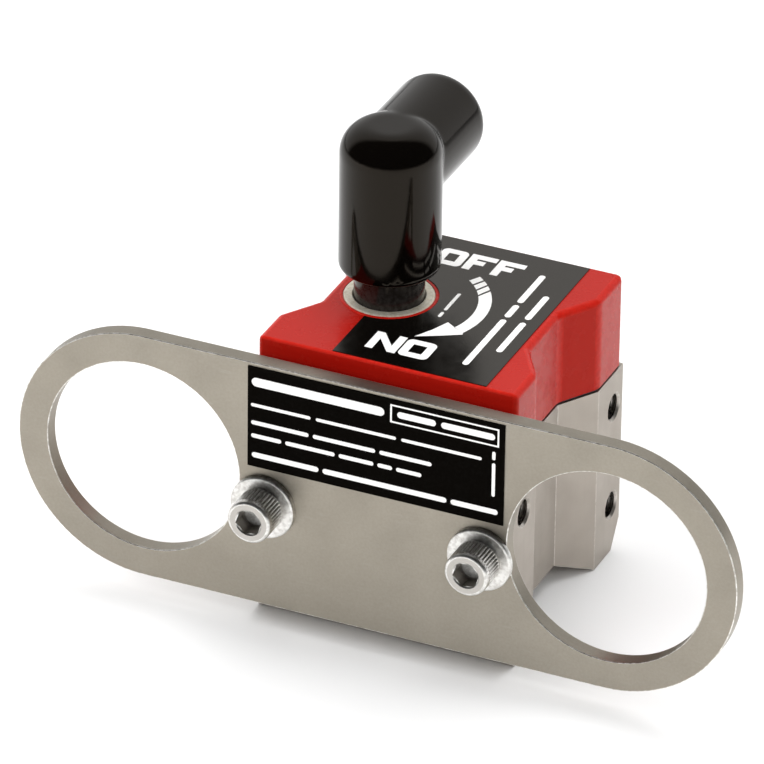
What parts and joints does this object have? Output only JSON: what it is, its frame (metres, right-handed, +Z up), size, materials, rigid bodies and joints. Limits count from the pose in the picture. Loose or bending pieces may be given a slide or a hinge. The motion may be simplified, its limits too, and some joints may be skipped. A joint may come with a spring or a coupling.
{
  "type": "switchable magnetic tie-down",
  "caption": "Steel plate with ring holes bolted to a switchable magnet block with a red cover and an L-shaped push-and-turn handle.",
  "frame": {"origin": "plan centre of the whole object, on the surface that the magnet's feet stand on", "axes": "+Z up along the handle's axis, -Y towards the tie-down plate, X along the plate's long side"},
  "size_m": [0.1968, 0.0864, 0.1285],
  "materials": {
    "pole_steel": "matt ground steel",
    "plate_stainless": "tumbled stainless steel",
    "screw_stainless": "bright stainless steel",
    "machined_steel": "machined steel",
    "magnet": "nickel-plated sintered magnet",
    "bronze": "sintered bronze",
    "black_steel": "gloss black",
    "black_vinyl": "gloss black dipped vinyl",
    "bush_metal": "pale bearing metal",
    "gasket_rubber": "matt black rubber",
    "red_paint": "gloss red powder coat",
    "label_film": "printed black film"
  },
  "bodies": {
    "block": {"pole_housing": "pole_steel", "lower_magnet": "magnet", "magnet_spacer": "bronze", "rotor_bush": "bronze", "stop_pin": "machined_steel", "bearing_plate": "machined_steel", "bearing_plate_screws": "machined_steel", "drive_bush": "bronze", "shaft_bush": "bush_metal", "cover_gasket": "gasket_rubber", "top_cover": "red_paint", "cover_screws": "machined_steel", "cover_label": "label_film", "tie_down_plate": "plate_stainless", "plate_washers": "screw_stainless", "plate_screws": "screw_stainless", "plate_label": "label_film"},
    "rotor": {"upper_magnet": "magnet", "rotor_carrier": "machined_steel", "rotor_washer": "bronze", "rotor_gear": "machined_steel", "rotor_clip": "machined_steel"},
    "drive": {"drive_gear": "machined_steel", "spring_washer": "machined_steel", "push_spring": "machined_steel"},
    "handle": {"handle_shaft": "black_steel", "lock_pin": "machined_steel", "handle_arm": "black_steel", "handle_grip": "black_vinyl"}
  },
  "joints": [
    {"name": "handle_turn", "type": "hinge", "parent": "block", "child": "drive", "pos_m": [-0.014, 0.00697, 0.0796], "axis": [0, 0, -1], "range_deg": [0, 180]},
    {"name": "handle_push", "type": "slide", "parent": "drive", "child": "handle", "axis": [0, 0, -1], "range_m": [0, 0.004], "stiffness_N_per_m": 2500, "springref_m": -0.003, "deforming": ["push_spring"]},
    {"name": "rotor_turn", "type": "hinge", "parent": "block", "child": "rotor", "pos_m": [0, 0.00697, 0.0375], "axis": [0, 0, 1], "range_deg": [0, 180]}
  ],
  "couplings": [
    {"joint": "rotor_turn", "follows": "handle_turn", "ratio": 1}
  ]
}
